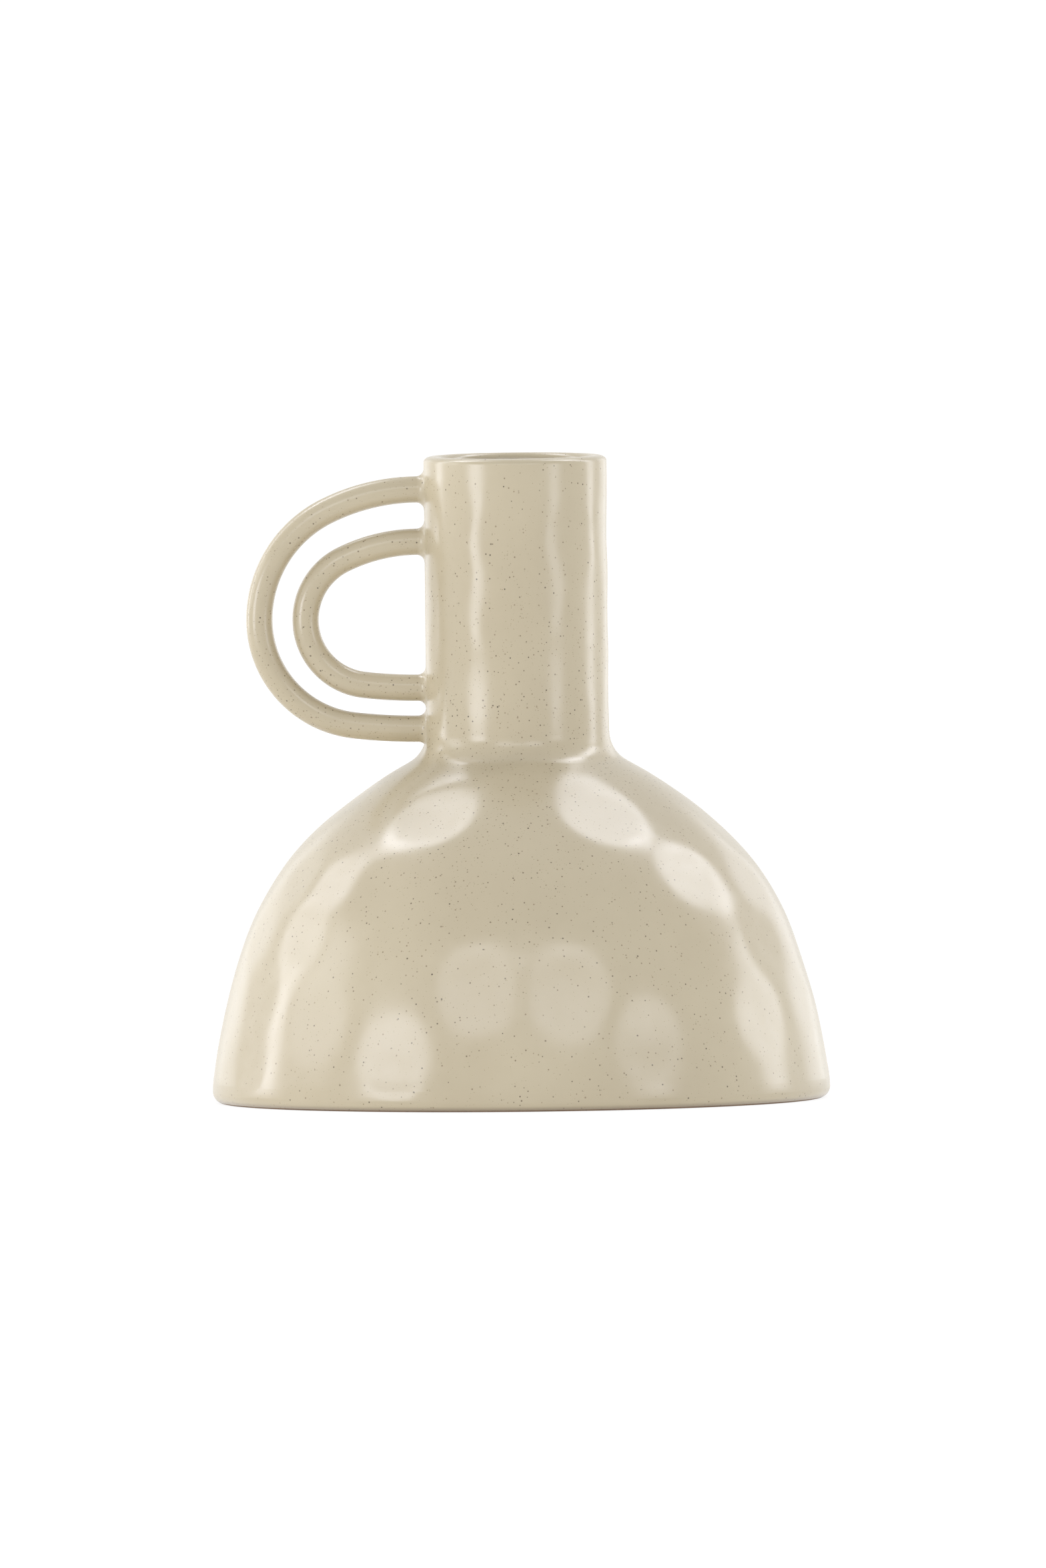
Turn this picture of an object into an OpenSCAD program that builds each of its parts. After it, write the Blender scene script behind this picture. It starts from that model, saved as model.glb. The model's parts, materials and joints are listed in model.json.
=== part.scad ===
// Stoneware vase: a domed body, a straight neck and a handle of two nested loops.
// Millimetres. The origin is the centre of the foot, +Z runs up through the mouth,
// and the handle points along -X. Every module is one piece of clay as it is made,
// before the pieces are luted together with slip and fired.

/* [Body] */
// Height from the foot to the top of the rim
overall_h = 250; // [242:1:300]
// Radius of the body at its widest, just above the foot
body_r = 119.6; // [96:0.1:150]
// Height at which the shoulder meets the neck
shoulder_h = 135.5; // [110:0.5:142]
// Thickness of the domed wall
wall = 7; // [4:0.1:9]
// Lean of the wall where it leaves the floor slab, in degrees
wall_lean = 9.6; // [0:0.1:14]
// Fall of the shoulder where it leaves the neck, in degrees
shoulder_fall = 30.3; // [20:0.1:40]
// Fullness of the lower wall, as a share of its height
wall_fullness = 0.59; // [0.4:0.01:0.7]
// Fullness of the shoulder, as a share of its width
shoulder_fullness = 0.78; // [0.5:0.01:0.85]

/* [Floor] */
// Thickness of the floor slab, foot included
slab_h = 8; // [7:0.5:12]
// Radius of the rounded edge between the foot and the wall
foot_edge_r = 4.5; // [3:0.5:6]
// Width of the flat, unglazed foot ring
foot_ring_w = 12; // [6:0.5:25]
// Depth of the hollow turned inside the foot ring
foot_hollow_h = 1.8; // [1:0.1:3]
// Radius of the clay coil pressed into the seam between floor and wall
seam_r = 6; // [3:0.5:12]

/* [Neck] */
// Outer radius of the neck
neck_r = 35.5; // [30:0.1:46]
// Radius of the bore through the neck
bore_r = 28.2; // [22:0.1:29]
// Radius of the hollow curve that joins the shoulder to the neck
collar_r = 13; // [6:0.5:16]
// Height of the coil that makes the rim
rim_h = 8; // [7:0.5:12]
// Rounding of the rim's outer edge
rim_outer_round = 3.6; // [1:0.1:4]
// Rounding of the rim's inner edge
rim_inner_round = 2.4; // [1:0.1:3]

/* [Handle] */
// Radius of the clay rods that the loops are bent from
rod_r = 5.1; // [3.5:0.1:6.2]
// Distance from the axis to the centreline of the outer loop at its widest
outer_reach = 99.7; // [90:0.1:125]
// Distance between the two centrelines at their widest
loop_space = 17.9; // [15:0.1:24]
// Distance between the two centrelines at the lower arms
low_space = 15.9; // [13:0.1:20]
// Distance between the two centrelines at the upper arms
high_space = 20.3; // [15:0.1:24]
// Drop from the rim to the outer loop's upper root
top_drop = 12.7; // [10:0.1:24]
// Rise from the shoulder to the outer loop's lower arm
low_rise = 9; // [8:0.1:20]
// Height of the widest point, as a share of the outer loop's height
widest_share = 0.458; // [0.4:0.001:0.5]
// Turn of the lower arms' gentle curve, before they bend up to the side, in degrees
low_arm_turn = 7; // [3:1:20]
// Turn of the upper arms' gentle curve, before they bend down to the side, in degrees
high_arm_turn = 26; // [5:1:32]
// Radius of the coil of clay smoothed round each root
root_r = 2.4; // [1.5:0.1:3]

/* [Hidden] */
$fn = 180;

glaze = [0.80, 0.76, 0.66];
bare_clay = [0.55, 0.43, 0.32];
reach_past = 2; // how far a cutting solid runs past the faces it cuts
curve_steps = 28; // straight steps along the wall's curve
arc_steps = 12; // straight steps along a rounded edge
halvings = 30; // halved this often, an interval is far finer than the drawing
curve_middle = 0.5; // the collar's foot lies past the middle of the wall's curve

// The wall's outer curve in the plane of radius and height, from the slab to the neck.
wall_start = [body_r, slab_h];
wall_end = [neck_r, shoulder_h];
low_pull = wall_fullness * (shoulder_h - slab_h) * [-sin(wall_lean), cos(wall_lean)];
top_pull = shoulder_fullness * (body_r - neck_r) * [cos(shoulder_fall), -sin(shoulder_fall)];
pull_a = wall_start + low_pull;
pull_b = wall_end + top_pull;

function wall_point(t) = pow(1 - t, 3) * wall_start + 3 * t * pow(1 - t, 2) * pull_a
    + 3 * t * t * (1 - t) * pull_b + pow(t, 3) * wall_end;
function wall_run(t) = pow(1 - t, 2) * (pull_a - wall_start) + 2 * t * (1 - t) * (pull_b - pull_a)
    + t * t * (wall_end - pull_b);
function wall_normal(t) = let (run = wall_run(t)) [run.y, -run.x] / norm(run);
function arc(centre, r, from, to, steps) =
    [for (i = [0:steps]) let (a = from + (to - from) * i / steps) centre + r * [cos(a), sin(a)]];

outer_curve = [for (i = [0:curve_steps]) wall_point(i / curve_steps)];
inner_curve = [for (i = [0:curve_steps]) let (t = i / curve_steps) wall_point(t) - wall * wall_normal(t)];
inner_downwards = [for (i = [curve_steps:-1:0]) inner_curve[i]];
inner_by_height = [for (p = inner_curve) [p.y, p.x]];
// The neck stands in the shoulder's hole, flush with the inside of the wall.
neck_foot_h = lookup(neck_r, inner_downwards);
floor_r = lookup(slab_h, inner_by_height);

// The collar's hollow curve touches the neck and the shoulder. Its centre lies collar_r
// off both, so the place along the wall's curve is found by halving the interval.
function collar_place(low, high, tries) = let (mid = (low + high) / 2)
    tries == 0 ? mid
    : (wall_point(mid) + collar_r * wall_normal(mid)).x > neck_r + collar_r
        ? collar_place(mid, high, tries - 1)
        : collar_place(low, mid, tries - 1);
collar_t = collar_place(curve_middle, 1, halvings);
collar_foot = wall_point(collar_t);
collar_centre = collar_foot + collar_r * wall_normal(collar_t);

// The two loops share the height of their widest point.
outer_high_z = overall_h - top_drop;
outer_low_z = shoulder_h + low_rise;
inner_high_z = outer_high_z - high_space;
inner_low_z = outer_low_z + low_space;
inner_reach = outer_reach - loop_space;
widest_z = outer_low_z + widest_share * (outer_high_z - outer_low_z);
root_lip = 0.3; // thickness of a root coil at its thin edge
root_foot = root_r + root_lip; // how far a root coil spreads over the neck and along the arm
root_sink = 4; // how far it runs in, before the neck's curve trims it
knuckle = 0.02; // a ball this much fatter than the rod closes each of its joints

module below(height) {
    translate([0, 0, -reach_past]) cylinder(r = body_r + reach_past, h = height + reach_past);
}

module neck_mass() {
    cylinder(r = neck_r, h = overall_h + reach_past);
}

// All that lies under the wall's outer curve.
module shoulder_mass() {
    rotate_extrude() polygon(concat([[0, slab_h]], outer_curve, [[0, shoulder_h]]));
}

module cavity() {
    cavity_foot = [0, inner_curve[0].y];
    cavity_top = [0, inner_curve[curve_steps].y];
    difference() {
        rotate_extrude() polygon(concat([cavity_foot], inner_curve, [cavity_top]));
        below(slab_h);
    }
}

// The thrown floor: a rounded edge, a flat ring to stand on and a shallow hollow inside it.
module floor_slab() {
    foot_r = body_r - foot_edge_r;
    color(bare_clay)
    difference() {
        rotate_extrude()
            polygon(concat([[0, 0]], arc([foot_r, foot_edge_r], foot_edge_r, -90, 0, arc_steps),
                           [[body_r, slab_h], [0, slab_h]]));
        translate([0, 0, -reach_past])
            cylinder(r = foot_r - foot_ring_w, h = foot_hollow_h + reach_past);
    }
}

// A soft coil pressed into the inner corner, so that the floor can't crack away from the wall.
module floor_seam_coil() {
    in_from_wall = seam_r * (1 + sin(wall_lean)) / cos(wall_lean);
    hollow = arc([floor_r - in_from_wall, slab_h + seam_r], seam_r, wall_lean, -90, arc_steps);
    color(glaze)
    intersection() {
        rotate_extrude()
            polygon(concat(hollow, [[floor_r + wall / 2, slab_h], [floor_r + wall / 2, hollow[0].y]]));
        cavity();
    }
}

// The dome. It stands on the slab, and its top is cut out to take the neck.
module body_wall() {
    color(glaze)
    difference() {
        rotate_extrude() polygon(concat(outer_curve, inner_downwards));
        below(slab_h);
        neck_mass();
    }
}

module neck_tube() {
    color(glaze)
    difference() {
        translate([0, 0, neck_foot_h]) cylinder(r = neck_r, h = overall_h - rim_h - neck_foot_h);
        translate([0, 0, neck_foot_h - reach_past]) cylinder(r = bore_r, h = overall_h);
    }
}

module collar_ring() {
    rotate_extrude()
        difference() {
            polygon([[neck_r, collar_centre.y], [neck_r, neck_foot_h],
                     [collar_foot.x, collar_foot.y - wall / 2], collar_foot]);
            translate(collar_centre) circle(r = collar_r);
        }
}

// The coil of clay smoothed into the corner between shoulder and neck.
module neck_collar() {
    color(glaze)
    difference() {
        collar_ring();
        shoulder_mass();
    }
}

module rim_coil() {
    outer_centre = [neck_r - rim_outer_round, overall_h - rim_outer_round];
    inner_centre = [bore_r + rim_inner_round, overall_h - rim_inner_round];
    outer_edge = arc(outer_centre, rim_outer_round, 0, 90, arc_steps);
    inner_edge = arc(inner_centre, rim_inner_round, 90, 180, arc_steps);
    rim_foot_h = overall_h - rim_h;
    color(glaze)
    rotate_extrude()
        polygon(concat([[bore_r, rim_foot_h], [neck_r, rim_foot_h]], outer_edge, inner_edge));
}

// A quarter ring of the rod, from one angle to another in the plane of the handle. The angles
// are in degrees: 180 is the side of the loop, and 270 is under it.
module bend(centre, radius, from, to) {
    translate([centre.x, 0, centre.y]) rotate([90, 0, 0]) rotate([0, 0, from])
        rotate_extrude(angle = to - from) translate([radius, 0]) circle(r = rod_r);
}

// Half a loop, from the neck to its widest point. The arm leaves the neck level, curves gently
// through arm_turn and then bends tighter into the side. Both radii follow from the height and
// the reach. A loop that is higher than it is wide gets a straight side above its bend.
module half_loop(height, reach, arm_turn) {
    arm_start = -neck_r - root_foot;
    room = reach + arm_start;
    bend_h = min(height, room);
    bend_sum = sin(arm_turn) + cos(arm_turn) - 1;
    arm_r = (room * cos(arm_turn) - bend_h * (1 - sin(arm_turn))) / bend_sum;
    side_r = (bend_h * sin(arm_turn) - room * (1 - cos(arm_turn))) / bend_sum;
    arm_end = [arm_start - arm_r * sin(arm_turn), arm_r * (1 - cos(arm_turn))];
    rotate([0, -90, 0]) cylinder(r = rod_r, h = -arm_start);
    bend([arm_start, arm_r], arm_r, 270 - arm_turn, 270);
    bend([side_r - reach, bend_h], side_r, 180, 270 - arm_turn);
    if (height - bend_h > knuckle)
        translate([-reach, 0, bend_h]) cylinder(r = rod_r, h = height - bend_h);
    for (joint = [[arm_start, 0], arm_end, [-reach, bend_h], [-reach, height]])
        translate([joint.x, 0, joint.y]) sphere(r = rod_r + knuckle);
}

// One rod: a lower half that bends up to the widest point, and an upper half that comes back.
module rod(low_z, high_z, reach) {
    translate([0, 0, low_z]) half_loop(widest_z - low_z, reach, low_arm_turn);
    translate([0, 0, high_z]) mirror([0, 0, 1]) half_loop(high_z - widest_z, reach, high_arm_turn);
}

module loop(low_z, high_z, reach) {
    color(glaze)
    difference() {
        rod(low_z, high_z, reach);
        neck_mass();
        collar_ring();
    }
}

module outer_handle() {
    loop(outer_low_z, outer_high_z, outer_reach);
}

module inner_handle() {
    loop(inner_low_z, inner_high_z, inner_reach);
}

// A thin coil round the end of an arm, hollow on its outside and trimmed to the neck.
module root(z) {
    translate([-neck_r, 0, z]) rotate([0, -90, 0])
        rotate_extrude()
            difference() {
                translate([rod_r, -root_sink]) square([root_foot, root_sink + root_r]);
                translate([rod_r + root_foot, root_r]) circle(r = root_r);
            }
}

// The outer loop is luted on first, so the inner loop's coils give way to its own. Its lower
// coil stops where the collar begins, and the arm rests on the collar there.
module outer_upper_root() {
    color(glaze)
    difference() {
        root(outer_high_z);
        neck_mass();
    }
}

module outer_lower_root() {
    color(glaze)
    difference() {
        root(outer_low_z);
        neck_mass();
        below(collar_centre.y);
    }
}

module inner_upper_root() {
    color(glaze)
    difference() {
        root(inner_high_z);
        root(outer_high_z);
        neck_mass();
    }
}

module inner_lower_root() {
    color(glaze)
    difference() {
        root(inner_low_z);
        root(outer_low_z);
        neck_mass();
    }
}

floor_slab();
floor_seam_coil();
body_wall();
neck_tube();
neck_collar();
rim_coil();
outer_handle();
inner_handle();
outer_upper_root();
outer_lower_root();
inner_upper_root();
inner_lower_root();
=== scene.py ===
# %% [markdown]
# # A stoneware vase with a double loop handle
#
# The vase is a domed pot with a straight neck and a handle of two nested loops. It is made here
# the way a potter makes it: a floor, a domed wall, a neck, a rim and two bent rods, each turned
# or drawn out on its own and then luted together with small coils of clay.
#
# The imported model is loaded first. It is the fixed frame: every new piece takes its size and
# its place from it, and stands for one of its nodes.

# %% Load the frame
import json
import math
import random

import bmesh
import bpy
from mathutils import Matrix, Vector
from mathutils.kdtree import KDTree


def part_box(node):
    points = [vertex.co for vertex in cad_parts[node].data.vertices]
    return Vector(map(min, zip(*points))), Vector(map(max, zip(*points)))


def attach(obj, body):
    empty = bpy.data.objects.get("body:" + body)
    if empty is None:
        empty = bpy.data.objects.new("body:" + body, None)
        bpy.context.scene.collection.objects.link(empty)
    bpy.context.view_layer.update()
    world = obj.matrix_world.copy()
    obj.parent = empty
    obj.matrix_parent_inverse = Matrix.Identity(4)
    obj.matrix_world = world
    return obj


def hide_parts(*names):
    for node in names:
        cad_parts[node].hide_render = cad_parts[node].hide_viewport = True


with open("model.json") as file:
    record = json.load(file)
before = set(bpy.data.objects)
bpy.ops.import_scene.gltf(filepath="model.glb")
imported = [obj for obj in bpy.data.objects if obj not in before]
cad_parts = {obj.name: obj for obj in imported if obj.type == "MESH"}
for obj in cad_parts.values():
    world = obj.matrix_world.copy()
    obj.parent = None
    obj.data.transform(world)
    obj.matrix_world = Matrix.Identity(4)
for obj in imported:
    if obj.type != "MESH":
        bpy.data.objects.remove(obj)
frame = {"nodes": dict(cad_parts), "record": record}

MM = 0.001
TURN = 2 * math.pi
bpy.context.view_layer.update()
print("frame:", ", ".join(sorted(frame["nodes"])))

# %% [markdown]
# ## Sizes
#
# The frame's boxes give the radii and heights of every piece. Three kinds of size can't be read
# from a box, so they are named here: the wall's curve, the wall's thickness and the roundings.

# %% Read the sizes from the frame
_, slab_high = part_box("floor_slab")
_, wall_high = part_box("body_wall")
neck_low, neck_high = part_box("neck_tube")
collar_low, collar_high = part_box("neck_collar")
rim_low, rim_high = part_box("rim_coil")
outer_low, outer_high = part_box("outer_handle")
inner_low, inner_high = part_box("inner_handle")
mouth = next(mount for mount in frame["record"]["mounts"] if mount["name"] == "mouth")

BODY_R = slab_high.x
SLAB_H = slab_high.z
SHOULDER_H = wall_high.z
NECK_R = neck_high.x
BORE_R = mouth["dims"]["r_mm"] * MM
TOP_H = rim_high.z
WALL = 7 * MM
print(f"body radius {BODY_R / MM:.1f} mm, neck radius {NECK_R / MM:.1f} mm, height {TOP_H / MM:.1f} mm")

# %% [markdown]
# The wall's outer curve is one Bezier curve in the plane of radius and height. It leaves the
# floor leaning in a little, swells, and comes over into the shoulder. A half circle would be
# simpler, but a hand-built dome is fuller low down and flatter at the shoulder, and a Bezier
# curve has two pulls that set just that.

# %% The wall's curve
WALL_LEAN = math.radians(9.6)
WALL_FULLNESS = 0.59
SHOULDER_FALL = math.radians(30.3)
SHOULDER_FULLNESS = 0.78
COLLAR_R = 13 * MM


def wall_handles():
    """The four points that the wall's curve is drawn from, as (radius, height)."""
    start = Vector((BODY_R, SLAB_H))
    end = Vector((NECK_R, SHOULDER_H))
    low_pull = WALL_FULLNESS * (SHOULDER_H - SLAB_H)
    top_pull = SHOULDER_FULLNESS * (BODY_R - NECK_R)
    lean = Vector((-math.sin(WALL_LEAN), math.cos(WALL_LEAN)))
    fall = Vector((math.cos(SHOULDER_FALL), -math.sin(SHOULDER_FALL)))
    return start, start + low_pull * lean, end + top_pull * fall, end


def wall_point(t):
    """The place along the wall's curve, from 0 at the floor to 1 at the neck."""
    a, b, c, d = wall_handles()
    s = 1 - t
    return s ** 3 * a + 3 * s * s * t * b + 3 * s * t * t * c + t ** 3 * d


def wall_normal(t):
    """The outward direction there, in the same plane."""
    a, b, c, d = wall_handles()
    s = 1 - t
    run = s * s * (b - a) + 2 * s * t * (c - b) + t * t * (d - c)
    return Vector((run.y, -run.x)).normalized()


# %% Helpers that search the curve and draw arcs
def halve(low, high, is_short, steps=24):
    """Halves the stretch from low to high until is_short turns from true to false there."""
    for _ in range(steps):
        middle = (low + high) / 2
        if is_short(middle):
            low = middle
        else:
            high = middle
    return low


def radius_at(height):
    """The wall's outer radius at a height."""
    return wall_point(halve(0.0, 1.0, lambda t: wall_point(t).y < height)).x


def arc(centre, radius, start, end, steps, squash=1.0):
    """Points along an arc, as (radius, height). The angles are in degrees, and squash flattens it."""
    turns = [math.radians(start + (end - start) * i / steps) for i in range(steps + 1)]
    return [centre + radius * Vector((math.cos(turn), squash * math.sin(turn))) for turn in turns]


HALF_WAY = (SLAB_H + SHOULDER_H) / 2
print(f"half way up the wall the radius is {radius_at(HALF_WAY) / MM:.1f} mm")

# %% [markdown]
# ## Turning on the wheel
#
# A thrown pot is a profile turned about an axis, and Blender's Spin does just that. The profile
# starts as a plane merged to one vertex, which is extruded from point to point, as by hand. The
# last point lies on the first, so merging doubles closes the ring, and the spin makes a closed
# skin. The normals are set outwards after the merge. A Screw modifier would turn the profile
# too, but Spin leaves a plain mesh at once, which the next steps can press.

# %% Helpers that start a piece and draw its profile
DOUBLE = 0.002 * MM


def deselect_all():
    """Leaves nothing selected, so that an operator can't reach another piece."""
    if bpy.context.object and bpy.context.object.mode != "OBJECT":
        bpy.ops.object.mode_set(mode="OBJECT")
    bpy.ops.object.select_all(action="DESELECT")


def start_piece(name, place):
    """A new object in edit mode, whose mesh is one selected vertex."""
    deselect_all()
    bpy.ops.mesh.primitive_plane_add(size=MM)
    piece = bpy.context.object
    piece.name = piece.data.name = name
    bpy.ops.object.mode_set(mode="EDIT")
    bpy.ops.mesh.select_all(action="SELECT")
    bpy.ops.mesh.merge(type="CENTER")
    bpy.ops.transform.translate(value=place)
    return piece


def draw_on(points):
    """Extrudes the selected vertex from the first point to each of the others."""
    for start, end in zip(points, points[1:]):
        bpy.ops.mesh.extrude_region_move(TRANSFORM_OT_translate={"value": end - start})


# %% Helpers that spin a profile
def close_skin():
    """Merges what lies together and turns every face outwards."""
    bpy.ops.mesh.select_all(action="SELECT")
    bpy.ops.mesh.remove_doubles(threshold=DOUBLE)
    bpy.ops.mesh.normals_make_consistent(inside=False)


def turn_profile(name, outline, steps, centre=Vector(), axis=Vector((0, 0, 1))):
    """Spins a closed outline about an axis. The object is left in edit mode."""
    piece = start_piece(name, outline[0])
    draw_on([*outline, outline[0]])
    bpy.ops.mesh.select_all(action="SELECT")
    bpy.ops.mesh.spin(steps=steps, angle=TURN, center=centre, axis=axis)
    close_skin()
    return piece


def upright(points):
    """Points of (radius, height) as places in the plane that the wheel turns."""
    return [Vector((p.x, 0, p.y)) for p in points]


# %% Helpers that select and finish
SMOOTH_ANGLE = math.radians(40)


def select_where(piece, test):
    """Selects the vertices whose place passes the test."""
    bpy.ops.mesh.select_all(action="DESELECT")
    skin = bmesh.from_edit_mesh(piece.data)
    for v in skin.verts:
        v.select = test(v.co)
    skin.select_flush(True)
    bmesh.update_edit_mesh(piece.data)


def finish_piece(piece):
    """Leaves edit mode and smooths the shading."""
    bpy.ops.object.mode_set(mode="OBJECT")
    bpy.ops.object.shade_smooth_by_angle(angle=SMOOTH_ANGLE)
    low, high = Vector(piece.bound_box[0]), Vector(piece.bound_box[6])
    size = " x ".join(f"{n / MM:.1f}" for n in high - low)
    print(f"{piece.name}: {len(piece.data.polygons)} faces, {size} mm")
    return piece


# %% [markdown]
# ## The pressed hollows
#
# The wall isn't a true surface of revolution: its maker has pressed it all over with a thumb,
# which leaves shallow, round, nearly flat hollows with soft ridges between. Each is a vertex
# pushed in with proportional editing. The inverse square falloff takes a parabola off the
# surface, and that turns a round wall into a flat facet. Smoothing then softens the ridges.
# A brush would do this by hand, and a displacing texture all over at once, but a push in code
# comes out the same each time and can be aimed at one place.

# %% Helpers that place and press hollows
SIDE_SHARE = 0.35
SIDE_GAIN = 2.2


def press(piece, hollows, flatness=1.0):
    """Flattens the surface at each (place, radius), less at the sides, where the outline is true."""
    skin = bmesh.from_edit_mesh(piece.data)
    skin.verts.ensure_lookup_table()
    tree = KDTree(len(skin.verts))
    for v in skin.verts:
        tree.insert(v.co, v.index)
    tree.balance()
    for place, radius in hollows:
        nearest = tree.find(place)[1]
        skin = bmesh.from_edit_mesh(piece.data)
        skin.verts.ensure_lookup_table()
        normal = skin.verts[nearest].normal.copy()
        roundness = place.xy.length / normal.xy.length
        fade = SIDE_SHARE + (1 - SIDE_SHARE) * min(1, SIDE_GAIN * abs(place.y) / place.xy.length)
        push = -normal * flatness * fade * radius ** 2 / (2 * roundness)
        bpy.ops.mesh.select_all(action="DESELECT")
        skin.verts[nearest].select = True
        skin.select_flush(True)
        bmesh.update_edit_mesh(piece.data)
        bpy.ops.transform.translate(value=push, use_proportional_edit=True,
                                    proportional_edit_falloff="INVERSE_SQUARE", proportional_size=radius)


def around(radius, azimuth, height):
    """The place at an azimuth in degrees: 0 is the front, and 90 is to the right."""
    turn = math.radians(azimuth)
    return Vector((radius * math.sin(turn), -radius * math.cos(turn), height))


# %% [markdown]
# ## The domed wall
#
# The outline goes up the wall's curve and comes back down inside it, one wall thickness in.
# At the bottom a short arc eases it into the floor's upright edge, and at the top the wall is
# cut to take the neck. Solidify could give a single skin its thickness, but it would slant the
# two ends, and the floor and the neck would no longer fit against them.

# %% Turn the dome
WALL_STEPS = 84
INSIDE_STEPS = 25
EASE_STEPS = 2
TURN_STEPS = 340
FLOOR_REACH = 0.2 * MM
FOOT_EDGE_R = 4.5 * MM
EASE_R = (SLAB_H - FOOT_EDGE_R) * 2 / math.sin(WALL_LEAN)
ease_centre = Vector((BODY_R - EASE_R, FOOT_EDGE_R))
ease_top = 2 * SLAB_H - FOOT_EDGE_R
SEAM_TURN = math.degrees(math.asin((SLAB_H - FOOT_EDGE_R) / EASE_R))


def inside_of(t):
    """The point of the wall's inner face behind the outer one."""
    return wall_point(t) - WALL * wall_normal(t)


eased = arc(ease_centre, EASE_R, SEAM_TURN, math.degrees(WALL_LEAN), EASE_STEPS)
outside = [wall_point(i / WALL_STEPS) for i in range(WALL_STEPS + 1)]
outer_skin = [*eased, *[p for p in outside if p.y > ease_top + MM]]
inside = [inside_of(i / INSIDE_STEPS) for i in range(INSIDE_STEPS, -1, -1)]
inner_skin = [p for p in inside if p.x > NECK_R and p.y > SLAB_H]
neck_cut = Vector((NECK_R, neck_low.z))
floor_cut = Vector((inner_skin[-1].x + FLOOR_REACH, SLAB_H))
wall_outline = [*outer_skin, neck_cut, *inner_skin, floor_cut]
dome = finish_piece(turn_profile("body", upright(wall_outline), TURN_STEPS))

# %% [markdown]
# ## The floor
#
# The floor slab carries the wall. Its edge is rounded and glazed down to a line just above the
# table, and the ring that it stands on is wiped bare, so that the glaze can't stick it to the
# kiln shelf. Inside the ring the floor is turned away a little. A cylinder could be bevelled and
# inset to the same shape, but the profile gives ring, hollow and rounded edge in one turn.

# %% Turn the floor
FOOT_RING_W = 12 * MM
FOOT_HOLLOW_H = 1.8 * MM
GLAZE_LINE_H = 0.7 * MM
FOOT_EDGE_STEPS = 20
foot_r = BODY_R - FOOT_EDGE_R
ring_r = foot_r - FOOT_RING_W
soft = 0.6 * MM
foot_outline = [
    Vector((0, FOOT_HOLLOW_H)), Vector((ring_r - soft, FOOT_HOLLOW_H)),
    Vector((ring_r, FOOT_HOLLOW_H - soft)), Vector((ring_r, soft)), Vector((ring_r + soft, 0)),
    *arc(Vector((foot_r, FOOT_EDGE_R)), FOOT_EDGE_R, -90, 0, FOOT_EDGE_STEPS),
    *arc(ease_centre, EASE_R, 0, SEAM_TURN, EASE_STEPS)[1:], Vector((0, SLAB_H)),
]
floor = finish_piece(turn_profile("floor", upright(foot_outline), TURN_STEPS))

# %% [markdown]
# ## Pressing the wall
#
# The hollows go into the wall after it stands on its floor, so both are joined for a while, and
# a hollow that reaches below the seam stays whole. Those at the front are placed one by one. The
# rest of the wall is filled by trying places at random, with a fixed seed, and keeping each that
# lies far enough from all before it. Then the two are parted again.

# %% Place the hollows, each in front as (azimuth in degrees, height in mm, radius in mm)
FRONT_HOLLOWS = [
    (-8.5, 46, 17), (9.5, 45, 18), (-24.5, 20, 16), (25.5, 27, 16), (54, 35, 17), (-43, 34, 15),
    (-65, 42, 15), (-53, 66, 15), (46, 89, 16), (27, 113, 18), (-29, 113, 18), (-65, 89, 13),
    (-35, 86, 13), (-6, 15, 12), (-13, 77, 12), (14, 78, 12), (35, 60, 14), (63, 63, 15),
    (-73, 66, 13), (-62, 18, 13), (74, 40, 13), (70, 84, 14), (-50, 87, 13),
]
HOLLOW_R = 16 * MM
HOLLOW_SPACE = 29 * MM
HOLLOW_TRIES = 6000
FOOT_MARGIN = 9 * MM
SHOULDER_MARGIN = 17 * MM
BACK_AZIMUTHS = (76, 284)
HOLLOW_RANGE = (0.9, 1.1)
chance = random.Random(5)
hollows = [(around(radius_at(h * MM), azimuth, h * MM), r * MM) for azimuth, h, r in FRONT_HOLLOWS]
for _ in range(HOLLOW_TRIES):
    height = chance.uniform(SLAB_H + FOOT_MARGIN, SHOULDER_H - SHOULDER_MARGIN)
    azimuth = chance.uniform(*BACK_AZIMUTHS)
    place = around(radius_at(height), azimuth, height)
    if all((place - other).length > HOLLOW_SPACE for other, _ in hollows):
        hollows.append((place, HOLLOW_R * chance.uniform(*HOLLOW_RANGE)))
print(f"{len(hollows)} hollows, {len(FRONT_HOLLOWS)} of them at the front")

# %% Join floor and wall, and press the hollows
EDGE = 3 * MM
BULGE = 0.35 * MM
SMOOTHING = 0.5
WALL_SMOOTHINGS = 13
wall_top = collar_low.z


def on_outside(p):
    """Tells whether a place is on the wall's outer face, clear of its ends."""
    return ease_top + EDGE < p.z < wall_top - EDGE and p.xy.length > radius_at(p.z) - MM


deselect_all()
floor.select_set(True)
dome.select_set(True)
bpy.context.view_layer.objects.active = dome
bpy.ops.object.join()
bpy.ops.object.mode_set(mode="EDIT")
select_where(dome, on_outside)
bpy.ops.transform.shrink_fatten(value=BULGE)
press(dome, hollows)
select_where(dome, lambda p: ease_top < p.z < wall_top - EDGE / 2)
bpy.ops.mesh.vertices_smooth(factor=SMOOTHING, repeat=WALL_SMOOTHINGS)

# %% Part them again
bpy.ops.mesh.select_all(action="SELECT")
bpy.ops.mesh.separate(type="LOOSE")
bpy.ops.object.mode_set(mode="OBJECT")
floor, dome = sorted(bpy.context.selected_objects, key=lambda piece: piece.bound_box[6][2])
for piece, name in ((floor, "floor"), (dome, "body")):
    piece.name = piece.data.name = name
    print(f"{name}: {len(piece.data.polygons)} faces")

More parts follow.
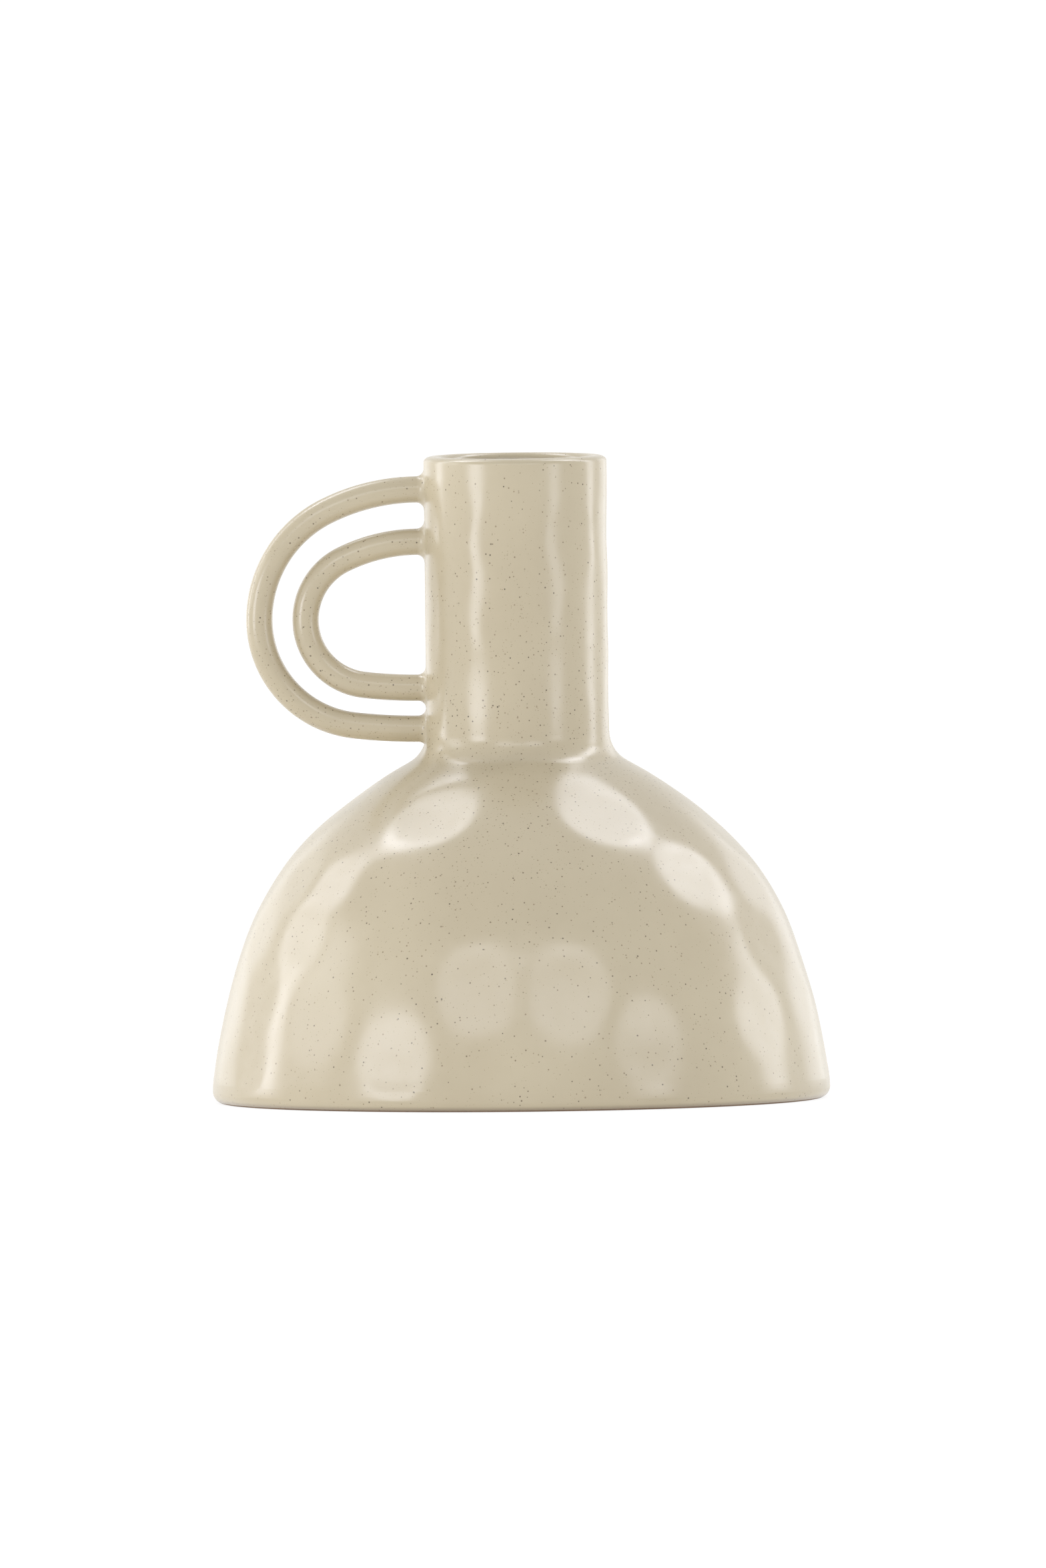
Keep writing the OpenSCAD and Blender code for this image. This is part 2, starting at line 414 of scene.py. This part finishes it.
# %% [markdown]
# ## The coil in the floor's corner
#
# Inside the pot, a soft coil is pressed into the corner between floor and wall, because a pot
# cracks there first. It is a ring with a hollow face. A torus would lie half buried in the wall
# and the floor, so only the part that fills the corner is drawn and turned.

# %% Turn the corner coil
CORNER_R = 6 * MM
CORNER_BACK = 2 * MM
CORNER_STEPS = 10
CORNER_TURN_STEPS = 160
corner_r = floor_cut.x
lean_gap = CORNER_R * (1 + math.sin(WALL_LEAN)) / math.cos(WALL_LEAN)
corner_centre = Vector((corner_r - lean_gap, SLAB_H + CORNER_R))
corner = arc(corner_centre, CORNER_R, math.degrees(WALL_LEAN), -90, CORNER_STEPS)
corner_back = Vector((corner_r + CORNER_BACK, SLAB_H))
corner_outline = upright([*corner, corner_back])
corner_coil = finish_piece(turn_profile("corner_coil", corner_outline, CORNER_TURN_STEPS))

# %% [markdown]
# ## The neck and its rim
#
# The neck is a tube that stands in the dome's hole. It was pressed like the dome, more lightly,
# so the light runs down it in bands that waver. No hollow lies where the handle is luted on.
# The rim is a coil on top, rounded more on its outside than on its inside. Two cylinders could
# give the tube, but pressing needs many rings of vertices outside and few inside, and a drawn
# profile has as many on each side as it is given.

# %% Turn the neck
NECK_STEPS = 70
BORE_STEPS = 12
NECK_TURN_STEPS = 180


def neck_line(radius, start, end, steps):
    """Points along an upright line of the neck's outline."""
    return [Vector((radius, start + (end - start) * i / steps)) for i in range(steps + 1)]


neck_side = neck_line(NECK_R, neck_low.z, rim_low.z, NECK_STEPS)
bore_side = neck_line(BORE_R, rim_low.z, neck_low.z, BORE_STEPS)
neck = turn_profile("neck", upright([*neck_side, *bore_side]), NECK_TURN_STEPS)

# %% Press the neck
NECK_HOLLOW_R = 14 * MM
NECK_HOLLOW_SPACE = 1.45 * NECK_HOLLOW_R
NECK_TRIES = 3000
NECK_AZIMUTHS = (-54, 234)
NECK_FLATNESS = 0.2
NECK_SMOOTHINGS = 6
neck_places = []
for _ in range(NECK_TRIES):
    height = chance.uniform(collar_high.z + NECK_HOLLOW_R, rim_low.z - NECK_HOLLOW_R)
    azimuth = chance.uniform(*NECK_AZIMUTHS)
    place = around(NECK_R, azimuth, height)
    if all((place - other).length > NECK_HOLLOW_SPACE for other in neck_places):
        neck_places.append(place)
press(neck, [(p, NECK_HOLLOW_R) for p in neck_places], NECK_FLATNESS)
select_where(neck, lambda p: neck_low.z + EDGE < p.z < rim_low.z - EDGE)
bpy.ops.mesh.vertices_smooth(factor=SMOOTHING, repeat=NECK_SMOOTHINGS)
finish_piece(neck)
print(f"{len(neck_places)} hollows pressed into the neck")

# %% Turn the rim
RIM_OUTER_ROUND = 3.4 * MM
RIM_INNER_ROUND = 2.6 * MM
RIM_SQUASH = 0.65
OUTER_LIP_STEPS = 12
INNER_LIP_STEPS = 10
outer_lip = Vector((NECK_R - RIM_OUTER_ROUND, TOP_H - RIM_SQUASH * RIM_OUTER_ROUND))
inner_lip = Vector((BORE_R + RIM_INNER_ROUND, TOP_H - RIM_INNER_ROUND))
rim_outline = [
    Vector((BORE_R, rim_low.z)), Vector((NECK_R, rim_low.z)),
    *arc(outer_lip, RIM_OUTER_ROUND, 0, 90, OUTER_LIP_STEPS, RIM_SQUASH),
    *arc(inner_lip, RIM_INNER_ROUND, 90, 180, INNER_LIP_STEPS),
]
rim = finish_piece(turn_profile("rim", upright(rim_outline), NECK_TURN_STEPS))

# %% [markdown]
# ## The collar
#
# A coil is smoothed into the corner between shoulder and neck. Its hollow face touches both, so
# its centre lies one radius off each: the place on the wall is found by halving. A bevel would
# give the same fillet, but only on one joined mesh, and the coil is a piece of its own.

# %% Find the collar's centre
def off_wall(t):
    """The place one collar radius off the wall's curve."""
    return wall_point(t) + COLLAR_R * wall_normal(t)


touch = halve(0.5, 1.0, lambda t: off_wall(t).x > NECK_R + COLLAR_R, steps=30)
collar_centre = off_wall(touch)
print(f"collar centre at radius {collar_centre.x / MM:.1f} mm, height {collar_centre.y / MM:.1f} mm")

# %% Turn the collar
COLLAR_STEPS = 26
UNDER = 2 * MM
BEHIND = 1 * MM
touch_normal = wall_normal(touch)
foot_turn = 180 + math.degrees(math.atan2(touch_normal.y, touch_normal.x))
collar_outline = [
    *arc(collar_centre, COLLAR_R, 180, foot_turn, COLLAR_STEPS),
    wall_point(touch) - UNDER * touch_normal,
    Vector((NECK_R - BEHIND, SHOULDER_H - UNDER)),
    Vector((NECK_R - BEHIND, collar_centre.y)),
]
collar = finish_piece(turn_profile("collar", upright(collar_outline), TURN_STEPS))

# %% [markdown]
# ## The loops of the handle
#
# Each loop is one rod of clay. It leaves the neck level, curves gently, bends tighter round the
# side and comes back the same way. A circle is extruded for the level ends and spun round the
# bends. The frame's boxes give the arms' heights and the reach, and the radii follow from them.
# A curve with a round bevel would be quicker to bend by eye, but spun arcs keep their true radii.

# %% Sizes of the rods
ROD_R = (outer_high.y - outer_low.y) / 2
ROD_SIDES = 36
LOW_ARM_TURN = math.radians(7)
HIGH_ARM_TURN = math.radians(26)
WIDEST_SHARE = 0.458
LEVEL_END = 2.7 * MM
ROD_SINK = 1.5 * MM
ARM_STEPS = 12
SIDE_STEPS = 34
Y_AXIS = Vector((0, 1, 0))
arm_start = NECK_R + LEVEL_END
outer_z = (outer_low.z + ROD_R, outer_high.z - ROD_R)
inner_z = (inner_low.z + ROD_R, inner_high.z - ROD_R)
WIDEST_Z = outer_z[0] + WIDEST_SHARE * (outer_z[1] - outer_z[0])
print(f"rod radius {ROD_R / MM:.1f} mm, widest at a height of {WIDEST_Z / MM:.1f} mm")


# %% A helper that finds the bends
def bend_radii(height, reach, turn):
    """The radius of an arm's gentle curve through turn, and that of the bend into the side."""
    room = reach - arm_start
    bend_sum = math.sin(turn) + math.cos(turn) - 1
    arm = (room * math.cos(turn) - height * (1 - math.sin(turn))) / bend_sum
    side = (height * math.sin(turn) - room * (1 - math.cos(turn))) / bend_sum
    return arm, side


# %% Draw the two rods
CAP_REACH = 1.01 * ROD_R


def bend_rod(name, heights, reach):
    """Draws one rod from its lower end to its upper end."""
    low_z, high_z = heights
    low_arm, low_side = bend_radii(WIDEST_Z - low_z, reach, LOW_ARM_TURN)
    high_arm, high_side = bend_radii(high_z - WIDEST_Z, reach, HIGH_ARM_TURN)
    low_end = Vector((ROD_SINK - NECK_R, 0, low_z))
    level = Vector((ROD_SINK + LEVEL_END, 0, 0))
    deselect_all()
    bpy.ops.mesh.primitive_circle_add(vertices=ROD_SIDES, radius=ROD_R, location=low_end,
                                      rotation=(0, math.pi / 2, 0))
    piece = bpy.context.object
    piece.name = piece.data.name = name
    bpy.ops.object.transform_apply(location=True, rotation=True, scale=True)
    bpy.ops.object.mode_set(mode="EDIT")
    bpy.ops.mesh.select_all(action="SELECT")
    bpy.ops.mesh.extrude_region_move(TRANSFORM_OT_translate={"value": -level})
    for radius, turn, steps, centre in [
        (low_arm, LOW_ARM_TURN, ARM_STEPS, (-arm_start, 0, low_z + low_arm)),
        (low_side, math.pi / 2 - LOW_ARM_TURN, SIDE_STEPS, (low_side - reach, 0, WIDEST_Z)),
        (high_side, math.pi / 2 - HIGH_ARM_TURN, SIDE_STEPS, (high_side - reach, 0, WIDEST_Z)),
        (high_arm, HIGH_ARM_TURN, ARM_STEPS, (-arm_start, 0, high_z - high_arm)),
    ]:
        print(f"  bend of {radius / MM:.1f} mm through {math.degrees(turn):.0f} degrees")
        bpy.ops.mesh.spin(steps=steps, angle=-turn, axis=Y_AXIS, center=Vector(centre))
    bpy.ops.mesh.extrude_region_move(TRANSFORM_OT_translate={"value": level})
    bpy.ops.mesh.edge_face_add()
    select_where(piece, lambda p: (p - low_end).length < CAP_REACH)
    bpy.ops.mesh.edge_face_add()
    close_skin()
    return finish_piece(piece)


outer_loop = bend_rod("outer_loop", outer_z, -outer_low.x - ROD_R)
inner_loop = bend_rod("inner_loop", inner_z, -inner_low.x - ROD_R)

# %% [markdown]
# ## The roots
#
# Where a rod meets the neck, a thin coil is smoothed round it. Its outline is a hollow curve
# from the rod's side to the neck's, spun about the arm, and then every point slides along the
# arm until the coil follows the round of the neck. A Boolean and a bevel could blend rod and
# neck, but they would melt two pieces into one, and leave a ragged edge to shade.

# %% Turn the four root coils
ROOT_R = 3 * MM
ROOT_SINK = 1 * MM
ROOT_ARC_STEPS = 10
ROOT_STEPS = 48
X_AXIS = Vector((1, 0, 0))


def make_root(name, z):
    """A coil round the arm that leaves the neck at height z."""
    foot = Vector((-NECK_R, 0, z))
    hollow = arc(Vector((ROD_R + ROOT_R, ROOT_R)), ROOT_R, 180, 270, ROOT_ARC_STEPS)
    hidden = [
        Vector((ROD_R + ROOT_R, -ROOT_SINK)), Vector((ROD_R - ROOT_SINK, -ROOT_SINK)),
        Vector((ROD_R - ROOT_SINK, ROOT_R)),
    ]
    outline = [foot + Vector((-p.y, 0, p.x)) for p in [*hollow, *hidden]]
    piece = turn_profile(name, outline, ROOT_STEPS, foot, X_AXIS)
    skin = bmesh.from_edit_mesh(piece.data)
    for v in skin.verts:
        v.co.x += NECK_R - math.sqrt(NECK_R ** 2 - v.co.y ** 2)
    bmesh.update_edit_mesh(piece.data)
    return finish_piece(piece)


outer_upper = make_root("outer_upper_coil", outer_z[1])
outer_lower = make_root("outer_lower_coil", outer_z[0])
inner_upper = make_root("inner_upper_coil", inner_z[1])
inner_lower = make_root("inner_lower_coil", inner_z[0])

# %% [markdown]
# ## The glaze
#
# The glaze is a satin cream over a stoneware that is full of iron. In the kiln the iron melts
# through as dark specks, and they crowd where the neck meets the shoulder. Specks could be
# painted on, one map for each piece. Here a speck is the ball round a Voronoi cell's centre,
# where the surface cuts it. The pattern fills the space that the vase stands in, so it runs on
# unbroken from each piece to its neighbour.

# %% Node helpers
def new_material(name):
    """A material with an empty Principled shader, and its nodes and links."""
    material = bpy.data.materials.new(name)
    material.use_nodes = True
    nodes, links = material.node_tree.nodes, material.node_tree.links
    return material, nodes, links, nodes["Principled BSDF"]


def add(nodes, kind, **settings):
    """Adds a node, and sets its properties or, where the name is a socket's, its inputs."""
    node = nodes.new(kind)
    for key, value in settings.items():
        if hasattr(node, key):
            setattr(node, key, value)
        else:
            node.inputs[key.replace("_", " ")].default_value = value
    return node


# %% Node helpers that reckon and mix
def maths(nodes, links, operation, first, second):
    """One Math node. Each input is a number or another node's output."""
    node = add(nodes, "ShaderNodeMath", operation=operation)
    for socket, value in zip(node.inputs, (first, second)):
        if isinstance(value, (int, float)):
            socket.default_value = value
        else:
            links.new(value, socket)
    return node.outputs[0]


def map_range(nodes, links, value, ends, targets, smooth=False):
    """Maps value from one pair of ends to another, clamped. Each end is a number or an output."""
    node = add(nodes, "ShaderNodeMapRange", interpolation_type="SMOOTHSTEP" if smooth else "LINEAR")
    links.new(value, node.inputs["Value"])
    for name, end in zip(("From Min", "From Max", "To Min", "To Max"), (*ends, *targets)):
        if isinstance(end, (int, float)):
            node.inputs[name].default_value = end
        else:
            links.new(end, node.inputs[name])
    return node.outputs["Result"]


def mix(nodes, links, share, first, second):
    """Mixes two colours. Each is an RGB tuple or another node's output."""
    node = add(nodes, "ShaderNodeMix", data_type="RGBA")
    links.new(share, node.inputs["Factor"])
    for socket, colour in zip(("A", "B"), (first, second)):
        target = next(s for s in node.inputs if s.name == socket and s.type == "RGBA")
        if isinstance(colour, tuple):
            target.default_value = (*colour, 1)
        else:
            links.new(colour, target)
    return next(s for s in node.outputs if s.type == "RGBA")


def noise(nodes, links, place, scale, detail=2.0):
    """A noise pattern. scale is in cycles a metre."""
    node = add(nodes, "ShaderNodeTexNoise", Scale=scale, Detail=detail)
    links.new(place, node.inputs["Vector"])
    return node.outputs["Fac"]


# %% Specks
SPECK_CORE = 0.35
SMALLEST_SPECK = 0.6


def specks(nodes, links, place, cell, radius, share):
    """A mask of round specks, one at most in a cell. Sizes are in metres, share is 0 to 1."""
    cells = add(nodes, "ShaderNodeTexVoronoi", Scale=1 / cell)
    links.new(place, cells.inputs["Vector"])
    luck = add(nodes, "ShaderNodeSeparateColor")
    links.new(cells.outputs["Color"], luck.inputs[0])
    sizes = (SMALLEST_SPECK * radius / cell, radius / cell)
    reach = map_range(nodes, links, luck.outputs[0], (0, 1), sizes)
    core = maths(nodes, links, "MULTIPLY", reach, SPECK_CORE)
    disc = map_range(nodes, links, cells.outputs["Distance"], (core, reach), (1.0, 0.0))
    there = maths(nodes, links, "LESS_THAN", luck.outputs[1], share)
    return maths(nodes, links, "MULTIPLY", disc, there), luck.outputs[2]


# %% The glaze's colours and the crowding of its specks, by share of the height
GLAZE_PALE = (0.562, 0.488, 0.340)
GLAZE_DEEP = (0.512, 0.437, 0.297)
# The next colour darkens the glaze just above the table: partly the glaze running thin there, partly
# painted contact shade.
GLAZE_THIN_AND_SHADE = (0.300, 0.232, 0.150)
SPECK_DARK = (0.040, 0.024, 0.012)
SPECK_RUST = (0.180, 0.105, 0.045)
SPECK_SHARES = [(0.0, 0.40), (0.22, 0.50), (0.44, 0.76), (0.54, 1.2), (0.64, 0.90), (1.0, 0.38)]
BOLD_SPECK = (1.9 * MM, 0.47 * MM)
FINE_SPECK = (1.0 * MM, 0.23 * MM)
FINE_SHARE = 0.6
FINE_STRENGTH = 0.6
BOLD_STRENGTH = (1.0, 0.55)


def speck_crowding(nodes, links, height):
    """The share of cells that hold a speck, from the height."""
    crowd = add(nodes, "ShaderNodeValToRGB")
    stops = crowd.color_ramp.elements
    while len(stops) < len(SPECK_SHARES):
        stops.new(0.5)
    for stop, (at, share) in zip(stops, SPECK_SHARES):
        stop.position, stop.color = at, (share, share, share, 1)
    links.new(maths(nodes, links, "DIVIDE", height, TOP_H), crowd.inputs[0])
    return crowd.outputs["Color"]


# %% Mix the glaze
DRIFT_SCALE = 14
CLOUD_SCALE = 160
CLOUD_SHARE = 0.15
PEEL_SCALE = 420
SPECK_PIT = 0.6
NOISE_SPREAD = (0.3, 0.7)
# The heights over which the glaze darkens towards the table, as thin glaze and painted contact shade.
THIN_AND_SHADE_SPAN = (0.6 * MM, 2.4 * MM)
THIN_AND_SHADE_STRENGTH = (0.8, 0.0)
GLAZE_ROUGHNESS = (0.20, 0.26)
GLAZE_IOR = 1.6


def make_glaze():
    """Satin cream glaze with iron specks."""
    material, nodes, links, shader = new_material("speckled_glaze")
    place = add(nodes, "ShaderNodeTexCoord").outputs["Object"]
    height = add(nodes, "ShaderNodeSeparateXYZ")
    links.new(place, height.inputs[0])
    drift = noise(nodes, links, place, DRIFT_SCALE, 3.0)
    cloud = noise(nodes, links, place, CLOUD_SCALE, 4.0)
    blend = maths(nodes, links, "ADD", maths(nodes, links, "MULTIPLY", drift, 1 - CLOUD_SHARE),
                  maths(nodes, links, "MULTIPLY", cloud, CLOUD_SHARE))
    paler = map_range(nodes, links, blend, NOISE_SPREAD, (0.0, 1.0))
    base = mix(nodes, links, paler, GLAZE_DEEP, GLAZE_PALE)
    # Darker towards the table: thin glaze and painted contact shade.
    thin_and_shade = map_range(nodes, links, height.outputs["Z"], THIN_AND_SHADE_SPAN, THIN_AND_SHADE_STRENGTH, smooth=True)
    base = mix(nodes, links, thin_and_shade, base, GLAZE_THIN_AND_SHADE)
    many = speck_crowding(nodes, links, height.outputs["Z"])
    bold, tint = specks(nodes, links, place, *BOLD_SPECK, many)
    fine_many = maths(nodes, links, "MULTIPLY", many, FINE_SHARE)
    fine, _ = specks(nodes, links, place, *FINE_SPECK, fine_many)
    rust = mix(nodes, links, tint, SPECK_DARK, SPECK_RUST)
    faint = maths(nodes, links, "MULTIPLY", fine, FINE_STRENGTH)
    colour = mix(nodes, links, faint, base, SPECK_RUST)
    strength = map_range(nodes, links, tint, (0, 1), BOLD_STRENGTH)
    colour = mix(nodes, links, maths(nodes, links, "MULTIPLY", bold, strength), colour, rust)
    links.new(colour, shader.inputs["Base Color"])
    roughness = map_range(nodes, links, cloud, NOISE_SPREAD, GLAZE_ROUGHNESS)
    links.new(roughness, shader.inputs["Roughness"])
    peel = noise(nodes, links, place, PEEL_SCALE)
    pit = maths(nodes, links, "MULTIPLY", bold, SPECK_PIT)
    relief = maths(nodes, links, "SUBTRACT", peel, pit)
    bump = add(nodes, "ShaderNodeBump", Strength=0.05, Distance=0.2 * MM)
    links.new(relief, bump.inputs["Height"])
    links.new(bump.outputs["Normal"], shader.inputs["Normal"])
    shader.inputs["IOR"].default_value = GLAZE_IOR
    return material


glaze = make_glaze()
print(f"{glaze.name}: {len(glaze.node_tree.nodes)} nodes")

# %% [markdown]
# ## The bare clay
#
# The foot ring shows the fired body itself: a matt, sandy brown, darker than the glaze. It could
# be the glaze's own material with another colour, but its grain is coarser and it has no gloss,
# so it is mixed on its own from the same helpers.

# %% Mix the clay
CLAY_PALE = (0.300, 0.205, 0.130)
CLAY_DEEP = (0.175, 0.112, 0.068)
CLAY_SPECK = (2.2 * MM, 0.4 * MM)
CLAY_SPREAD = (0.35, 0.65)
CLAY_ROUGHNESS = (0.75, 0.95)
GRAIN_SCALE = 900
PATCH_SCALE = 40


def make_clay():
    """Unglazed stoneware: grainy and matt."""
    material, nodes, links, shader = new_material("bare_clay")
    place = add(nodes, "ShaderNodeTexCoord").outputs["Object"]
    grain = noise(nodes, links, place, GRAIN_SCALE, 4.0)
    patch = noise(nodes, links, place, PATCH_SCALE, 3.0)
    blend = maths(nodes, links, "ADD", maths(nodes, links, "MULTIPLY", grain, 0.5),
                  maths(nodes, links, "MULTIPLY", patch, 0.5))
    paler = map_range(nodes, links, blend, CLAY_SPREAD, (0.0, 1.0))
    base = mix(nodes, links, paler, CLAY_DEEP, CLAY_PALE)
    dots, _ = specks(nodes, links, place, *CLAY_SPECK, 0.5)
    links.new(mix(nodes, links, dots, base, SPECK_DARK), shader.inputs["Base Color"])
    roughness = map_range(nodes, links, grain, NOISE_SPREAD, CLAY_ROUGHNESS)
    links.new(roughness, shader.inputs["Roughness"])
    bump = add(nodes, "ShaderNodeBump", Strength=0.35, Distance=0.3 * MM)
    links.new(grain, bump.inputs["Height"])
    links.new(bump.outputs["Normal"], shader.inputs["Normal"])
    return material


clay = make_clay()
print(f"{clay.name}: {len(clay.node_tree.nodes)} nodes")

# %% [markdown]
# ## Each piece stands for its node
#
# A new piece rides on the vase's one body and stands for its node, which is then hidden. The
# floor takes both finishes: its faces below the glaze line and inside the ring are bare clay. A
# mask in one material could draw that line too, but two slots keep each finish plain.

# %% Give the pieces their finish, their body and their node
pieces = [
    (floor, "floor_slab"), (corner_coil, "floor_seam_coil"), (dome, "body_wall"),
    (neck, "neck_tube"), (collar, "neck_collar"), (rim, "rim_coil"),
    (outer_loop, "outer_handle"), (inner_loop, "inner_handle"),
    (outer_upper, "outer_upper_root"), (outer_lower, "outer_lower_root"),
    (inner_upper, "inner_upper_root"), (inner_lower, "inner_lower_root"),
]
for piece, node in pieces:
    piece.data.materials.append(glaze)
    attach(piece, "root")
    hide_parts(node)
floor.data.materials.append(clay)
for face in floor.data.polygons:
    under = face.center.xy.length < foot_r and face.center.z < SLAB_H - MM
    if face.center.z < GLAZE_LINE_H or under:
        face.material_index = 1
print(f"{len(pieces)} pieces stand for {len(pieces)} nodes")

# %% [markdown]
# ## The stage
#
# A white floor, a white world and soft boxes. The floor and the world show white to the camera
# and in reflections, whatever light falls on them, and the floor keeps the vase's shadow. More
# light would whiten them as well, but it would wash out the pale glaze.

# %% A helper that tells what is seen from what lights
def seen_rays(nodes, links):
    """1 for what the camera sees, straight or in a reflection, and 0 for light on the vase."""
    path = add(nodes, "ShaderNodeLightPath")
    seen = maths(nodes, links, "MAXIMUM", path.outputs["Is Camera Ray"], path.outputs["Is Glossy Ray"])
    return maths(nodes, links, "MAXIMUM", seen, path.outputs["Is Transmission Ray"])


# %% The stage floor
FLOOR_SIZE = 40
FLOOR_LIGHT = 0.33
FLOOR_AS_LIGHT = (0.70, 0.70, 0.70)
FLOOR_AS_SEEN = (0.18, 0.18, 0.18)
GLOW_REACH = (0.3, 2.0)
FLOOR_GLOW = (0.87, 1.0)
FLOOR_ROUGHNESS = 0.9
WHITE = (1, 1, 1, 1)


def make_stage_floor():
    """A wide white floor that keeps a soft shadow."""
    deselect_all()
    bpy.ops.mesh.primitive_plane_add(size=FLOOR_SIZE, location=(0, 0, 0))
    ground = bpy.context.object
    ground.name = "stage_floor"
    material, nodes, links, shader = new_material("white_floor")
    seen = seen_rays(nodes, links)
    links.new(mix(nodes, links, seen, FLOOR_AS_LIGHT, FLOOR_AS_SEEN), shader.inputs["Base Color"])
    shader.inputs["Roughness"].default_value = FLOOR_ROUGHNESS
    shader.inputs["Specular IOR Level"].default_value = 0.0
    shader.inputs["Emission Color"].default_value = WHITE
    away = add(nodes, "ShaderNodeVectorMath", operation="LENGTH")
    links.new(add(nodes, "ShaderNodeTexCoord").outputs["Object"], away.inputs[0])
    glow = map_range(nodes, links, away.outputs["Value"], GLOW_REACH, FLOOR_GLOW)
    emission = map_range(nodes, links, seen, (0, 1), (FLOOR_LIGHT, glow))
    links.new(emission, shader.inputs["Emission Strength"])
    ground.data.materials.append(material)
    print(f"{ground.name}: {FLOOR_SIZE} m square")


make_stage_floor()

# %% The world
WORLD_HORIZON = 0.91
WORLD_ZENITH = 0.32
WORLD_LEAN = 0.2
HIGH_SKY = 0.8


def make_world():
    """White where it is seen. As a light it is pale grey at the horizon and darker overhead."""
    world = bpy.data.worlds.new("studio")
    bpy.context.scene.world = world
    world.use_nodes = True
    nodes, links = world.node_tree.nodes, world.node_tree.links
    way = add(nodes, "ShaderNodeSeparateXYZ")
    links.new(add(nodes, "ShaderNodeTexCoord").outputs["Generated"], way.inputs[0])
    height = map_range(nodes, links, way.outputs["Z"], (0.0, HIGH_SKY), (WORLD_HORIZON, WORLD_ZENITH))
    side = map_range(nodes, links, way.outputs["X"], (-1.0, 1.0), (1 + WORLD_LEAN, 1 - WORLD_LEAN))
    light = maths(nodes, links, "MULTIPLY", height, side)
    strength = map_range(nodes, links, seen_rays(nodes, links), (0, 1), (light, 1.0))
    links.new(strength, nodes["Background"].inputs["Strength"])
    nodes["Background"].inputs["Color"].default_value = WHITE


make_world()
print(f"world light from {WORLD_HORIZON} at the horizon to {WORLD_ZENITH} overhead")

# %% [markdown]
# ## The lamps
#
# A glazed pot shows its lamps, so they are placed by where they are reflected. A round wall
# throws the view back at twice the angle that it faces: a hollow that faces 25 degrees to the
# left shows what stands 50 degrees to the left. Two boxes in front give the pale inner bands on
# the neck and light the lowest hollows beside the middle. Three near the middle light the
# hollows there. Those at the sides, a little behind, give the bright outer bands, and those
# higher up light the hollows of the shoulder. A box adds its light to the white world behind
# it, so those near the back, which the wall's edge shows, are faint. One large lamp would be
# easier to set up, but every hollow would then show the same light.

# %% A helper that makes a soft box
AIM = Vector((0, 0, 0.12))
BOX_DISTANCE = 1.7
LAMP_WHITE = (0.96, 0.98, 1.06)


def soft_box(name, azimuth, elevation, width, height, radiance):
    """A rectangular lamp that faces the vase, as bright as radiance times a white surface."""
    turn, rise = math.radians(azimuth), math.radians(elevation)
    way = Vector((math.sin(turn) * math.cos(rise), -math.cos(turn) * math.cos(rise), math.sin(rise)))
    lamp = bpy.data.lights.new(name, "AREA")
    lamp.shape = "RECTANGLE"
    lamp.size, lamp.size_y = width, height
    lamp.energy = radiance * math.pi * width * height
    lamp.color = LAMP_WHITE
    box = bpy.data.objects.new(name, lamp)
    box.location = AIM + BOX_DISTANCE * way
    box.rotation_euler = (-way).to_track_quat("-Z", "Y").to_euler()
    box.visible_camera = False
    bpy.context.collection.objects.link(box)


# %% Set up the soft boxes, each as name, azimuth, elevation, width, height and radiance
SOFT_BOXES = [
    ("front_left", -51, 5, 0.56, 0.70, 4.5),
    ("front_right", 50, 5, 0.38, 0.70, 2.7),
    ("glow_left", -87, 18, 0.54, 0.66, 1.8),
    ("side_left", -110, 8, 0.36, 0.76, 4.1),
    ("side_right", 109, 8, 0.36, 0.76, 3.4),
    ("high_left", -115, 34, 0.34, 0.74, 3.5),
    ("high_right", 114, 36, 0.36, 0.74, 5.6),
    ("arch_left", -119, 54, 0.34, 0.30, 6.0),
    ("arch_right", 119, 55, 0.34, 0.30, 5.6),
    ("top_left", -139, 59, 0.60, 0.46, 4.2),
    ("top_right", 138, 59, 0.66, 0.48, 3.6),
    ("back_left", -146, 10, 0.76, 0.80, 0.6),
    ("back_right", 146, 10, 0.76, 0.84, 0.8),
    ("fill_left", -18, 27, 0.52, 0.42, 2.3),
    ("fill_right", 20, 27, 0.52, 0.42, 2.3),
    ("fill_middle", 0, 29, 0.26, 0.09, 6.0),
]
for settings in SOFT_BOXES:
    soft_box(*settings)
print(f"{len(SOFT_BOXES)} soft boxes at {BOX_DISTANCE} m")

# %% [markdown]
# ## The camera
#
# The vase is seen from just above its own level, with a slight roll. A view without perspective
# shows the foot and the mouth at the same slope, as a long lens far away does.

# %% Place the camera
CAMERA_DISTANCE = 12.0
CAMERA_RISE = math.radians(2.27)
CAMERA_ROLL = math.radians(0.6)
VIEW_CENTRE = Vector((0.0018, 0, 0.1226))
VIEW_HEIGHT = 0.6077
VIEW_END = 100
camera_data = bpy.data.cameras.new("camera")
camera_data.type = "ORTHO"
camera_data.ortho_scale = VIEW_HEIGHT
camera_data.clip_end = VIEW_END
camera = bpy.data.objects.new("camera", camera_data)
bpy.context.collection.objects.link(camera)
back = Vector((0, -math.cos(CAMERA_RISE), math.sin(CAMERA_RISE)))
camera.location = VIEW_CENTRE + CAMERA_DISTANCE * back
turned = (-back).to_track_quat("-Z", "Y").to_matrix().to_4x4()
camera.rotation_euler = (turned @ Matrix.Rotation(-CAMERA_ROLL, 4, "Z")).to_euler()
bpy.context.scene.camera = camera
bpy.context.scene.view_settings.view_transform = "Standard"
print(f"camera {CAMERA_DISTANCE} m away, {VIEW_HEIGHT} m high in view")
